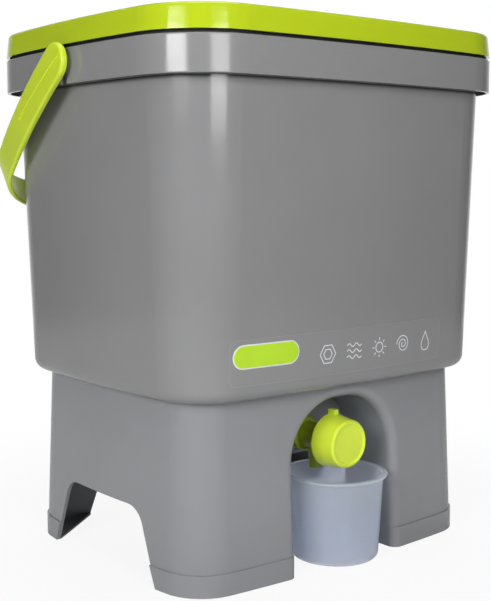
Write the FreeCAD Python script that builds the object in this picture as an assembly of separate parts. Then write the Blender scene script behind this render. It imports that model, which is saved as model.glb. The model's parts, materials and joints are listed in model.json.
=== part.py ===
"""Bokashi bin: a lidded tub on an open stand, with a carrying handle, a drain tap and a cup under it.

Millimetres. +Z is up, the tap looks along -Y, and the origin lies on the floor under the middle of the tub.
"""
import FreeCAD, Part
import math
import os

Vector = FreeCAD.Vector

# Overall sizes, over the collar and up to the top of the lid
LENGTH = 340.8
WIDTH = 281.6
HEIGHT = 400.0

# Collar round the mouth of the tub
COLLAR_HEIGHT = 25.5
COLLAR_CORNER = 57.4
COLLAR_BOW = 3.7
COLLAR_EDGE = 1.2
COLLAR_LIP = 0.8
LID_GAP = 2.4

# Tub
WALL = 2.5
TUB_SET_IN = 7.5
TUB_TAPER = 9.0
TUB_CORNER = 52.0
TUB_BOW = 4.3
TUB_BOTTOM_ROUND = 9.0

# Sump under the tub's floor, whose front wall carries the tap
SUMP_LENGTH = 130.0
SUMP_FRONT = 60.0
SUMP_BACK = 48.0
SUMP_BACK_LEAN = 8.0
SUMP_BELOW_TAIL = 10.5
SUMP_RISE = 26.0
SUMP_WALL = 3.0
SUMP_CORNER = 12.0
SUMP_ROUND = 6.0

# Stand
STAND_END_SET_IN = 12.2
STAND_SIDE_SET_IN = 13.5
STAND_FLARE = 4.8
STAND_CORNER = 30.0
STAND_BOW = 5.0
STAND_WALL = 2.8
DECK = 3.0
PLINTH_HEIGHT = 15.9
PLINTH_STEP = 1.2

# Niche for the cup in the stand's front
NICHE_SIDE_ROOM = 10.3
NICHE_ROOF = 10.6
NICHE_CORNER = 45.0
NICHE_WALL = 2.5
LIP_ROUND = 7.0
LIP_BACKING = 10.0
NICHE_GAP = 1.0

# Foot arches in the stand's other three sides
SIDE_FOOT = 47.8
BACK_FOOT = 59.7
ARCH_LEAN = 21.0
ARCH_TOP = 54.0
ARCH_CORNER = 18.0
FOOT_PAD = 1.8

# Screws that hold the tub on the stand, and their bosses and wells
SCREW_INSET = 40.0
SCREW_RADIUS = 2.0
SCREW_HEAD_RADIUS = 4.2
SCREW_HEAD = 2.8
SCREW_GRIP = 9.0
SCREW_CLEARANCE = 0.3
BOSS_RADIUS = 5.0
BOSS_DROP = 12.0
BOSS_CLEARANCE = 0.6
WELL_WALL = 2.4

# Lid
LID_BAND = 17.2
LID_TAPER = 1.9
LID_EDGE = 3.0
LID_WALL = 2.5
LID_BORDER = 22.0
LID_RECESS = 5.0
LID_RECESS_SLOPE = 4.0
PLUG_DEPTH = 14.0
PLUG_WALL = 2.0
PLUG_CLEARANCE = 1.2

# Seal pushed onto a rib under the lid
SEAL_INSET = 7.0
SEAL_WIDTH = 6.0
SEAL_HEIGHT = 8.0
SEAL_SLOT = 5.0
SEAL_RIB = 2.4
SEAL_CLEARANCE = 0.1

# Carrying handle: a flat bail on two pins that snap into the collar's sides
PIVOT_Y = 1.2
PIVOT_DROP = 10.1
HUB_RADIUS = 13.5
HUB_THICK = 4.8
HANDLE_GAP = 4.2
ARM_LEAN = 8.3
ARM_THICK = 3.8
GRIP_BEYOND = 25.8
GRIP_REST_GAP = 0.4
GRIP_THICK = 3.5
GRIP_CORNER = 56.0
GRIP_BOW = 3.0
HANDLE_EDGE = 2.2
HANDLE_INNER_EDGE = 1.0
RIB_WIDTH = 1.6
RIB_HEIGHT = 0.5
RIB_ROOT = 1.0
RIB_START = 10.0
RIB_END = 70.0
RIB_DRIFT = 5.0
PIN_RADIUS = 5.0
PIN_CLEARANCE = 0.08
PIN_HEAD_LIP = 2.0
PIN_HEAD = 2.2
PIN_PLAY = 0.5
SNAP_GRIP = 1.0

# Strainer over the sump
STRAINER_THICK = 3.0
STRAINER_FEET = 8.0
STRAINER_FOOT_RADIUS = 5.0
STRAINER_CLEARANCE = 1.5
STRAINER_MARGIN = 14.0
SLOT_LENGTH = 27.0
SLOT_WIDTH = 5.0
SLOT_PITCH_X = 36.0
SLOT_PITCH_Y = 16.0
FINGER_HOLE_RADIUS = 12.0
FINGER_HOLE_X = 54.0

# Tap
TAP_HEADROOM = 45.1
TAP_TAIL_RADIUS = 10.0
TAP_TAIL = 19.0
TAP_HOLE_CLEARANCE = 0.3
TAP_BORE_RADIUS = 6.0
FLANGE_LIP = 3.4
FLANGE_THICK = 7.5
FLANGE_EDGE = 1.6
BARREL_RADIUS = 10.0
BARREL_LENGTH = 35.0
PLUG_RADIUS = 7.0
PLUG_FIT = 0.05
PLUG_TAIL_GAP = 4.0
PLUG_BORE_RADIUS = 4.2
SPOUT_REACH = 10.0
SPOUT_TOP_RADIUS = 7.0
SPOUT_TIP_RADIUS = 5.4
SPOUT_BORE_RADIUS = 3.8
SPOUT_DROP = 23.9
SPOUT_CLEARANCE = 1.8
WASHER_THICK = 2.5
INNER_WASHER_THICK = 2.0
WASHER_LIP = 2.8
NUT_WALL = 2.5
NUT_THICK = 8.0
NUT_FIT = 0.05
KNOB_FRONT_RADIUS = 18.0
KNOB_BACK_RADIUS = 20.6
KNOB_LENGTH = 21.5
KNOB_STAND_OFF = 25.0
KNOB_WALL = 2.0
KNOB_FACE = 3.0
KNOB_DISC_RADIUS = 14.5
KNOB_DISC_DEPTH = 1.0
KNOB_EDGE = 1.4
NIB_HEIGHT = 3.2
NIB_WIDTH = 4.0
NIB_LENGTH = 7.0
RING_SECTION = 0.75
RING_FROM_FACE = 14.0

# Cup
CUP_X = 6.7
CUP_FORWARD = 13.6
CUP_HEIGHT = 64.8
CUP_RIM_RADIUS = 40.2
CUP_TOP_RADIUS = 37.2
CUP_BOTTOM_RADIUS = 33.2
CUP_RIM = 3.0
CUP_RIM_FLAT = 0.2
CUP_WALL = 1.8
CUP_FLOOR = 2.0
CUP_BOTTOM_ROUND = 4.0
CUP_FOOT_RADIUS = 26.0
CUP_FOOT_RECESS = 1.2

# Heights that follow, from the cup under the spout upwards and from the lid downwards
SPOUT_TIP_Z = CUP_HEIGHT + SPOUT_CLEARANCE
TAP_Z = SPOUT_TIP_Z + SPOUT_DROP
SUMP_BOTTOM = TAP_Z - TAP_TAIL_RADIUS - SUMP_BELOW_TAIL
STAND_HEIGHT = TAP_Z + TAP_HEADROOM
NICHE_TOP = STAND_HEIGHT - NICHE_ROOF
LID_BOTTOM = HEIGHT - LID_BAND
COLLAR_TOP = LID_BOTTOM - LID_GAP
COLLAR_BOTTOM = COLLAR_TOP - COLLAR_HEIGHT
TUB_FLOOR = STAND_HEIGHT + WALL
PIVOT_Z = COLLAR_TOP - PIVOT_DROP

# Plan sizes that follow
TUB_TOP_LENGTH = LENGTH - 2 * TUB_SET_IN
TUB_TOP_WIDTH = WIDTH - 2 * TUB_SET_IN
STAND_TOP_LENGTH = TUB_TOP_LENGTH - 2 * (TUB_TAPER + STAND_END_SET_IN)
STAND_TOP_WIDTH = TUB_TOP_WIDTH - 2 * (TUB_TAPER + STAND_SIDE_SET_IN)
SIDE_ARCH_HALF = STAND_TOP_WIDTH / 2 + STAND_FLARE + PLINTH_STEP - SIDE_FOOT
BACK_ARCH_HALF = STAND_TOP_LENGTH / 2 + STAND_FLARE + PLINTH_STEP - BACK_FOOT
SCREW_X = STAND_TOP_LENGTH / 2 - SCREW_INSET
SCREW_Y = STAND_TOP_WIDTH / 2 - SCREW_INSET
NICHE_HALF = CUP_RIM_RADIUS + NICHE_SIDE_ROOM
GRIP_REACH = WIDTH / 2 + GRIP_BEYOND
PIN_HEAD_RADIUS = PIN_RADIUS + PIN_HEAD_LIP
SNAP_SLOT = 2 * PIN_RADIUS - SNAP_GRIP
FLANGE_RADIUS = TAP_TAIL_RADIUS + FLANGE_LIP
WASHER_RADIUS = TAP_TAIL_RADIUS + WASHER_LIP
NUT_FLATS = 2 * (TAP_TAIL_RADIUS + NUT_WALL)

# Places along the tap's axis that follow, all on the -Y side
TAP_WALL_OUT = -SUMP_FRONT
TAP_WALL_IN = TAP_WALL_OUT + SUMP_WALL
FLANGE_BACK = TAP_WALL_OUT - WASHER_THICK
FLANGE_FRONT = FLANGE_BACK - FLANGE_THICK
BARREL_FRONT = FLANGE_FRONT - BARREL_LENGTH
SPOUT_Y = FLANGE_FRONT - SPOUT_REACH
KNOB_BACK = FLANGE_FRONT - KNOB_STAND_OFF
KNOB_FRONT = KNOB_BACK - KNOB_LENGTH
CUP_Y = SPOUT_Y - CUP_FORWARD

OVERCUT = 1.0
PATH_REACH = 0.05
FAR = 400.0
X_AXIS = Vector(1, 0, 0)
Y_AXIS = Vector(0, 1, 0)
Z_AXIS = Vector(0, 0, 1)


def arc(start, middle, end):
    return Part.Arc(start, middle, end).toShape()


def line(start, end):
    return Part.LineSegment(start, end).toShape()


def side_radius(half, bow):
    """Radius of an arc that rises by bow over a span of twice half."""
    return (half * half + bow * bow) / (2 * bow)


def flip_x(point):
    return Vector(-point.x, point.y, point.z)


def round_corner(half_x, half_y, side_arc, end_arc, corner, inset=0.0):
    """Corner between two bulging sides: where it leaves the side, its middle, and where it meets the end.

    The sides' centres lie on the axes, and the corner's centre is where two circles about them meet.
    """
    side_centre = half_x - side_arc
    end_centre = half_y - end_arc
    side_reach = side_arc - corner
    end_reach = end_arc - corner
    apart = math.hypot(side_centre, end_centre)
    along = (side_reach ** 2 - end_reach ** 2 + apart ** 2) / (2 * apart)
    off = math.sqrt(side_reach ** 2 - along ** 2)
    unit_x = -side_centre / apart
    unit_y = end_centre / apart
    centre = Vector(side_centre + along * unit_x - off * unit_y, along * unit_y + off * unit_x, 0)

    to_side = (centre - Vector(side_centre, 0, 0)).normalize()
    to_end = (centre - Vector(0, end_centre, 0)).normalize()
    to_tip = (to_side + to_end).normalize()
    return [centre + toward * (corner - inset) for toward in (to_side, to_tip, to_end)]


def outline(length, width, corner, bow, z, inset=0.0):
    """Rectangle with round corners and sides that bulge by bow between them, or a parallel curve inside it."""
    half_x = length / 2
    half_y = width / 2
    side_arc = side_radius(half_y - corner, bow)
    end_arc = side_radius(half_x - corner, bow)
    side, tip, end = round_corner(half_x, half_y, side_arc, end_arc, corner, inset)
    mid_x = half_x - inset
    mid_y = half_y - inset

    def at(point, sign_x, sign_y):
        return Vector(sign_x * point.x, sign_y * point.y, z)

    def turn(sign_x, sign_y):
        return arc(at(side, sign_x, sign_y), at(tip, sign_x, sign_y), at(end, sign_x, sign_y))

    return Part.Wire([
        arc(at(side, 1, -1), Vector(mid_x, 0, z), at(side, 1, 1)),
        turn(1, 1),
        arc(at(end, 1, 1), Vector(0, mid_y, z), at(end, -1, 1)),
        turn(-1, 1),
        arc(at(side, -1, 1), Vector(-mid_x, 0, z), at(side, -1, -1)),
        turn(-1, -1),
        arc(at(end, -1, -1), Vector(0, -mid_y, z), at(end, 1, -1)),
        turn(1, -1),
    ])


def between(low, high):
    """Solid between two outlines at different heights."""
    return Part.makeLoft([low, high], True, True)


def collar_outline(z, inset=0.0):
    return outline(LENGTH, WIDTH, COLLAR_CORNER, COLLAR_BOW, z, inset)


def tub_outline(z, inset=0.0):
    taper = TUB_TAPER * (COLLAR_TOP - z) / (COLLAR_TOP - STAND_HEIGHT)
    return outline(TUB_TOP_LENGTH, TUB_TOP_WIDTH, TUB_CORNER, TUB_BOW, z, inset + taper)


def stand_outline(z, inset=0.0):
    flare = STAND_FLARE * (STAND_HEIGHT - z) / (STAND_HEIGHT - PLINTH_HEIGHT)
    return outline(STAND_TOP_LENGTH, STAND_TOP_WIDTH, STAND_CORNER, STAND_BOW, z, inset - flare)


def lid_outline(z, inset=0.0):
    taper = LID_TAPER * (z - LID_BOTTOM) / LID_BAND
    return collar_outline(z, inset + taper)


def edges_at(shape, z):
    """Edges that lie in the level plane at z."""
    return [edge for edge in shape.Edges if all(abs(v.Z - z) < 1e-4 for v in edge.Vertexes)]


def prism_x(points, half):
    """Polygon in the YZ plane, given as (y, z), drawn out to both sides of x = 0."""
    corners = [Vector(-half, y, z) for y, z in points]
    face = Part.Face(Part.makePolygon(corners + corners[:1]))
    return face.extrude(Vector(2 * half, 0, 0))


def rod_y(radius, start, end, x=0.0, z=TAP_Z):
    return Part.makeCylinder(radius, abs(end - start), Vector(x, min(start, end), z), Y_AXIS)


def tube_y(outer, inner, start, end):
    return rod_y(outer, start, end).cut(rod_y(inner, start, end))


def turned(points, origin, axis):
    """Solid of revolution: points are (radius, distance along the axis)."""
    across = X_AXIS if abs(axis.x) < 0.5 else Y_AXIS
    corners = [origin + across * radius + axis * along for radius, along in points]
    face = Part.Face(Part.makePolygon(corners + corners[:1]))
    return face.revolve(origin, axis, 360)


def mirrored_x(shape):
    return shape.mirror(Vector(0, 0, 0), X_AXIS)


def screw_places():
    return [(x, y) for x in (-SCREW_X, SCREW_X) for y in (-SCREW_Y, SCREW_Y)]


def sump_solid(inset):
    """Trough under the floor: an upright front wall and a floor that falls towards it."""
    top = STAND_HEIGHT + WALL + OVERCUT if inset else TUB_FLOOR
    bottom = SUMP_BOTTOM + inset
    foot = SUMP_BACK - SUMP_BACK_LEAN
    slope = SUMP_RISE / (foot + SUMP_FRONT)
    front_y = -SUMP_FRONT + inset
    back_y = foot - inset
    profile = [
        (front_y, top),
        (front_y, bottom),
        (back_y, bottom + slope * (back_y - front_y)),
        (SUMP_BACK - inset, top),
    ]
    solid = prism_x(profile, SUMP_LENGTH / 2 - inset)
    tall = [edge for edge in solid.Edges if edge.BoundBox.ZLength > SUMP_RISE + SUMP_ROUND]
    solid = solid.makeFillet(SUMP_CORNER - inset, tall)
    below = [edge for edge in solid.Edges if edge.BoundBox.ZMax < STAND_HEIGHT - SUMP_ROUND]
    return solid.makeFillet(SUMP_ROUND - inset, below)


def tub():
    """Tub with its turned-down collar, sump, screw bosses, tap hole and slots for the handle's pins."""
    body = between(tub_outline(STAND_HEIGHT), tub_outline(COLLAR_TOP))
    body = body.makeFillet(TUB_BOTTOM_ROUND, edges_at(body, STAND_HEIGHT))

    collar = between(collar_outline(COLLAR_BOTTOM), collar_outline(COLLAR_TOP))
    collar = collar.makeFillet(COLLAR_EDGE, edges_at(collar, COLLAR_TOP))
    collar = collar.makeFillet(COLLAR_LIP, edges_at(collar, COLLAR_BOTTOM))
    under = between(collar_outline(COLLAR_BOTTOM - OVERCUT, WALL), collar_outline(COLLAR_TOP - WALL, WALL))
    collar = collar.cut(under)

    inside = between(tub_outline(TUB_FLOOR, WALL), tub_outline(COLLAR_TOP + OVERCUT, WALL))
    inside = inside.makeFillet(TUB_BOTTOM_ROUND - WALL, edges_at(inside, TUB_FLOOR))

    shape = body.fuse([collar, sump_solid(0.0)])
    shape = shape.cut(inside).cut(sump_solid(SUMP_WALL))

    for x, y in screw_places():
        boss = Part.makeCylinder(BOSS_RADIUS, BOSS_DROP, Vector(x, y, STAND_HEIGHT - BOSS_DROP), Z_AXIS)
        pilot = Part.makeCylinder(SCREW_RADIUS, SCREW_GRIP, Vector(x, y, STAND_HEIGHT - BOSS_DROP), Z_AXIS)
        shape = shape.fuse(boss).cut(pilot)

    shape = shape.cut(rod_y(TAP_TAIL_RADIUS + TAP_HOLE_CLEARANCE, TAP_WALL_OUT - OVERCUT, TAP_WALL_IN + OVERCUT))
    for slot in snap_slots():
        shape = shape.cut(slot)
    return shape.removeSplitter()


def snap_slots():
    """Keyhole cuts in the collar's two sides: a round seat with a slot below it, narrower than the pin."""
    depth = COLLAR_BOW + 2 * WALL
    start = LENGTH / 2 - WALL - OVERCUT
    seat = Part.makeCylinder(PIN_RADIUS + PIN_CLEARANCE, depth, Vector(start, PIVOT_Y, PIVOT_Z), X_AXIS)
    corner = Vector(start, PIVOT_Y - SNAP_SLOT / 2, COLLAR_BOTTOM - OVERCUT)
    slot = Part.makeBox(depth, SNAP_SLOT, PIVOT_Z - COLLAR_BOTTOM + OVERCUT, corner)
    right = seat.fuse(slot)
    return [right, mirrored_x(right)]


def niche_wire(grow, y):
    """Outline of the niche across its opening: upright sides, round shoulders and a level top."""
    half = NICHE_HALF + grow
    top = NICHE_TOP + grow
    corner = NICHE_CORNER + grow
    lean = corner * math.sqrt(0.5)

    def at(x, z):
        return Vector(x, y, z)

    left = half - corner
    shoulder = top - corner
    return Part.Wire([
        line(at(half, -OVERCUT), at(half, shoulder)),
        arc(at(half, shoulder), at(left + lean, shoulder + lean), at(left, top)),
        line(at(left, top), at(-left, top)),
        arc(at(-left, top), at(-left - lean, shoulder + lean), at(-half, shoulder)),
        line(at(-half, shoulder), at(-half, -OVERCUT)),
        line(at(-half, -OVERCUT), at(half, -OVERCUT)),
    ])


def niche_block(grow, start, end):
    return Part.Face(niche_wire(grow, start)).extrude(Vector(0, end - start, 0))


def stand_shell(outer, inner, lip_round):
    """One tier of the stand: its wall, the niche's wall, and a lip that rolls into the niche."""
    niche_back = -SUMP_FRONT - NICHE_GAP
    front = -outer.BoundBox.YMax
    backing = Part.makeLoft(
        [niche_wire(LIP_BACKING, front - OVERCUT), niche_wire(LIP_BACKING, front + LIP_BACKING),
         niche_wire(NICHE_WALL, front + 2 * LIP_BACKING)], True, True)
    lining = niche_block(NICHE_WALL, front - OVERCUT, niche_back)
    shape = outer.cut(inner).fuse(outer.common(lining.fuse(backing)))
    shape = shape.cut(niche_block(0.0, front - FAR, niche_back + OVERCUT)).removeSplitter()

    def on_lip(edge):
        box = edge.BoundBox
        inside = max(abs(box.XMin), abs(box.XMax)) < NICHE_HALF + 0.01
        return inside and box.ZMax < NICHE_TOP + 0.01 and box.YMax < front + LIP_BACKING

    return shape.makeFillet(lip_round, [edge for edge in shape.Edges if on_lip(edge)])


def foot_arch(half):
    """Opening between two feet: sloping sides and round upper corners, in the XZ plane."""
    below = -OVERCUT
    top_half = half - ARCH_LEAN
    slope = ARCH_LEAN / ARCH_TOP
    low_half = half - slope * below
    corners = [Vector(x, 0, z) for x, z in
               ((low_half, below), (top_half, ARCH_TOP), (-top_half, ARCH_TOP), (-low_half, below))]
    block = Part.Face(Part.makePolygon(corners + corners[:1])).extrude(Vector(0, FAR, 0))
    upper = [edge for edge in block.Edges
             if edge.BoundBox.YLength > FAR / 2 and edge.BoundBox.ZMin > ARCH_TOP / 2]
    return block.makeFillet(ARCH_CORNER, upper)


def foot_pad(plinth):
    """Flat web that closes the right back foot below, from the side arch's end to the back arch's."""
    foot_x = BACK_ARCH_HALF + BACK_FOOT
    foot_y = SIDE_ARCH_HALF + SIDE_FOOT
    inside = STAND_BOW + STAND_WALL
    corners = [Vector(x, y, 0) for x, y in
               ((foot_x - inside, SIDE_ARCH_HALF), (foot_x, SIDE_ARCH_HALF), (foot_x, foot_y),
                (BACK_ARCH_HALF, foot_y), (BACK_ARCH_HALF, foot_y - inside))]
    web = Part.Face(Part.makePolygon(corners + corners[:1])).extrude(Vector(0, 0, FOOT_PAD))
    return web.common(plinth)


def stand():
    """Stand: deck under the tub, skirt on a plinth, three foot arches and the niche for the cup."""
    deck_under = STAND_HEIGHT - DECK
    inner = between(stand_outline(-OVERCUT, STAND_WALL), stand_outline(deck_under, STAND_WALL))
    skirt = between(stand_outline(PLINTH_HEIGHT), stand_outline(STAND_HEIGHT))
    plinth = Part.Face(stand_outline(PLINTH_HEIGHT, -PLINTH_STEP)).extrude(Vector(0, 0, -PLINTH_HEIGHT))
    upper = stand_shell(skirt, inner, LIP_ROUND)
    lower = stand_shell(plinth, inner, LIP_ROUND)
    shape = upper.fuse(lower)

    side = foot_arch(SIDE_ARCH_HALF)
    side.rotate(Vector(0, 0, 0), Z_AXIS, 90)
    right = mirrored_x(side)
    back = foot_arch(BACK_ARCH_HALF)
    reach = STAND_TOP_LENGTH / 2 - STAND_CORNER
    depth = STAND_TOP_WIDTH / 2 - STAND_CORNER
    side.translate(Vector(-reach, 0, 0))
    right.translate(Vector(reach, 0, 0))
    back.translate(Vector(0, depth, 0))
    shape = shape.cut([side, right, back])
    pad = foot_pad(plinth)
    shape = shape.fuse([pad, mirrored_x(pad)])

    gap_front = -SUMP_FRONT - NICHE_GAP
    hole_half = SUMP_LENGTH / 2 + NICHE_GAP
    hole = Part.makeBox(2 * hole_half, SUMP_BACK + NICHE_GAP - gap_front, DECK + 2 * OVERCUT,
                        Vector(-hole_half, gap_front, deck_under - OVERCUT))
    shape = shape.cut(hole)

    well_inside = BOSS_RADIUS + BOSS_CLEARANCE
    well_seat = STAND_HEIGHT - BOSS_DROP
    for x, y in screw_places():
        well = Part.makeCylinder(well_inside + WELL_WALL, BOSS_DROP, Vector(x, y, well_seat - DECK), Z_AXIS)
        bore = Part.makeCylinder(well_inside, BOSS_DROP + OVERCUT, Vector(x, y, well_seat), Z_AXIS)
        hole = Part.makeCylinder(SCREW_RADIUS + SCREW_CLEARANCE, DECK + 2 * OVERCUT,
                                 Vector(x, y, well_seat - DECK - OVERCUT), Z_AXIS)
        shape = shape.fuse(well).cut([bore, hole])
    return shape.removeSplitter()


def stand_screws():
    """Pan-head screws, driven up through the wells into the tub's bosses."""
    head_top = STAND_HEIGHT - BOSS_DROP - DECK
    screws = []
    for x, y in screw_places():
        head = Part.makeCylinder(SCREW_HEAD_RADIUS, SCREW_HEAD, Vector(x, y, head_top - SCREW_HEAD), Z_AXIS)
        head = head.makeChamfer(SCREW_HEAD / 2, edges_at(head, head_top - SCREW_HEAD)[:1])
        shank = Part.makeCylinder(SCREW_RADIUS, DECK + SCREW_GRIP, Vector(x, y, head_top), Z_AXIS)
        screws.append(head.fuse(shank))
    return Part.makeCompound(screws)


def ring_between(maker, inset, thick, low, high):
    """Upright ring that follows an outline: its outer face is inset, and it is thick inwards."""
    outer = between(maker(low, inset), maker(high, inset))
    inner = between(maker(low - OVERCUT, inset + thick), maker(high + OVERCUT, inset + thick))
    return outer.cut(inner)


def upright(maker, level):
    """The outline that maker gives at one level, used at every height."""
    def wire(z, inset=0.0):
        shape = maker(level, inset)
        shape.translate(Vector(0, 0, z - level))
        return shape
    return wire


def lid():
    """Lid: tapered band, flat border, sunk middle, a skirt inside the mouth and a rib for the seal."""
    roof = HEIGHT - LID_WALL
    body = between(lid_outline(LID_BOTTOM), lid_outline(HEIGHT))
    body = body.makeFillet(LID_EDGE, edges_at(body, HEIGHT))
    hollow = between(lid_outline(LID_BOTTOM - OVERCUT, LID_WALL), lid_outline(roof, LID_WALL))

    border_low = LID_BORDER + LID_RECESS_SLOPE
    pan = between(lid_outline(roof - LID_RECESS, border_low - LID_WALL), lid_outline(roof, LID_BORDER - LID_WALL))
    recess = between(lid_outline(HEIGHT - LID_RECESS, border_low), lid_outline(HEIGHT, LID_BORDER))

    mouth = upright(tub_outline, COLLAR_TOP)
    skirt = ring_between(mouth, WALL + PLUG_CLEARANCE, PLUG_WALL, COLLAR_TOP - PLUG_DEPTH, roof)
    rib_low = COLLAR_TOP + SEAL_HEIGHT - SEAL_SLOT + SEAL_CLEARANCE
    rib_inset = SEAL_INSET - SEAL_RIB / 2
    rib = ring_between(upright(collar_outline, LID_BOTTOM), rib_inset, SEAL_RIB, rib_low, roof)
    shape = body.cut(hollow).fuse([pan, skirt, rib]).cut(recess)
    return shape.removeSplitter()


def lid_seal():
    """Soft ring with a slot in its top, which carries the lid on the tub's rim."""
    path = upright(collar_outline, LID_BOTTOM)
    top = COLLAR_TOP + SEAL_HEIGHT
    ring = ring_between(path, SEAL_INSET - SEAL_WIDTH / 2, SEAL_WIDTH, COLLAR_TOP, top)
    slot_width = SEAL_RIB + 2 * SEAL_CLEARANCE
    slot = ring_between(path, SEAL_INSET - slot_width / 2, slot_width, top - SEAL_SLOT, top + OVERCUT)
    return ring.cut(slot)


def bail_edges(hub_x, lean, corner, reach):
    """Edge of the bail seen square on: arms that bow inwards, round corners, a bulging grip; and its right end."""
    arm_arc = side_radius(reach - corner, lean)
    grip_arc = side_radius(hub_x - lean - corner, GRIP_BOW)
    arm, bend, grip = round_corner(hub_x, reach, arm_arc, grip_arc, corner)
    end = Vector(hub_x - arm_arc + math.sqrt(arm_arc ** 2 - HUB_RADIUS ** 2), -HUB_RADIUS, 0)
    edges = [
        arc(end, Vector(hub_x, 0, 0), arm),
        arc(arm, bend, grip),
        arc(grip, Vector(0, reach, 0), flip_x(grip)),
        arc(flip_x(grip), flip_x(bend), flip_x(arm)),
        arc(flip_x(arm), Vector(-hub_x, 0, 0), flip_x(end)),
    ]
    return edges, end


def hang_angle():
    """Degrees that the bail hangs down before its grip all but touches the tub's back wall."""
    reach = GRIP_REACH + HANDLE_INNER_EDGE
    half = HUB_RADIUS - HANDLE_INNER_EDGE
    low = 0.0
    high = 90.0
    while high - low > 1e-6:
        middle = (low + high) / 2
        cosine = math.cos(math.radians(middle))
        sine = math.sin(math.radians(middle))
        y = PIVOT_Y + reach * cosine - half * sine - HANDLE_INNER_EDGE
        z = PIVOT_Z - reach * sine - half * cosine
        if y > tub_outline(z).BoundBox.YMax + GRIP_REST_GAP:
            low = middle
        else:
            high = middle
    return low


def edges_along(shape, path):
    """Edges of the flat bail that follow a plan path, or end it at the round hubs."""
    found = []
    for edge in shape.Edges:
        middle = edge.valueAt((edge.FirstParameter + edge.LastParameter) / 2)
        spot = Part.Vertex(middle.x, middle.y, 0)
        if min(spot.distToShape(piece)[0] for piece in path) < PATH_REACH:
            found.append(edge)
    return found


def arm_rib(arm):
    """Low rib along the middle of the right arm's outer face, drifting towards the strap's upper edge."""
    centre = arm.Curve.Center
    radius = arm.Curve.Radius
    base = Vector(centre.x, centre.y, -HUB_RADIUS)
    sheet = Part.makeCylinder(radius + RIB_HEIGHT, 2 * HUB_RADIUS, base, Z_AXIS)
    sheet = sheet.cut(Part.makeCylinder(radius - RIB_ROOT, 2 * HUB_RADIUS, base, Z_AXIS))
    half = RIB_WIDTH / 2
    drift = RIB_DRIFT / 2
    points = [Vector(0, -RIB_START, -drift - half), Vector(0, RIB_END, drift - half),
              Vector(0, RIB_END, drift + half), Vector(0, -RIB_START, half - drift)]
    strip = Part.Face(Part.makePolygon(points + points[:1]))
    return sheet.common(strip.extrude(Vector(FAR, 0, 0)))


def handle():
    """Bail in one piece with its two headed pins, modelled flat and then hung down behind the tub."""
    inner_hub = LENGTH / 2 + HANDLE_GAP
    inner, inner_end = bail_edges(inner_hub, ARM_LEAN, GRIP_CORNER, GRIP_REACH)
    outer, outer_end = bail_edges(inner_hub + HUB_THICK, ARM_LEAN + HUB_THICK - ARM_THICK,
                                  GRIP_CORNER + GRIP_THICK, GRIP_REACH + GRIP_THICK)
    ends = [line(inner_end, outer_end), line(flip_x(inner_end), flip_x(outer_end))]
    plan = Part.Face(Part.Wire(Part.__sortEdges__(inner + outer + ends)))
    tall = 2 * HUB_RADIUS + 2 * OVERCUT
    plan.translate(Vector(0, 0, -tall / 2))
    band = plan.extrude(Vector(0, 0, tall))

    # Seen from the side, the strap keeps its width and ends in a round hub
    far = GRIP_REACH + GRIP_THICK + OVERCUT
    top = Vector(-FAR, 0, HUB_RADIUS)
    foot = Vector(-FAR, 0, -HUB_RADIUS)
    reach = Vector(0, far, 0)
    side = Part.Face(Part.Wire([
        arc(top, Vector(-FAR, -HUB_RADIUS, 0), foot),
        line(foot, foot + reach),
        line(foot + reach, top + reach),
        line(top + reach, top),
    ]))
    shape = band.common(side.extrude(Vector(2 * FAR, 0, 0)))
    shape = shape.makeFillet(HANDLE_EDGE, edges_along(shape, outer))
    shape = shape.makeFillet(HANDLE_INNER_EDGE, edges_along(shape, inner))
    rib = arm_rib(outer[0])

    seat_inside = LENGTH / 2 - WALL
    head_start = seat_inside - PIN_PLAY - PIN_HEAD
    pin = Part.makeCylinder(PIN_RADIUS, inner_hub + HUB_THICK / 2 - head_start, Vector(head_start, 0, 0), X_AXIS)
    head = Part.makeCylinder(PIN_HEAD_RADIUS, PIN_HEAD, Vector(head_start, 0, 0), X_AXIS)
    right = pin.fuse(head)
    shape = shape.fuse([right, mirrored_x(right), rib, mirrored_x(rib)]).removeSplitter()
    shape.rotate(Vector(0, 0, 0), X_AXIS, -hang_angle())
    shape.translate(Vector(0, PIVOT_Y, PIVOT_Z))
    return shape


def steps(limit, pitch):
    """Evenly spaced places from -limit to limit, with one at the middle."""
    count = int(limit // pitch)
    return [pitch * k for k in range(-count, count + 1)]


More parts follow.
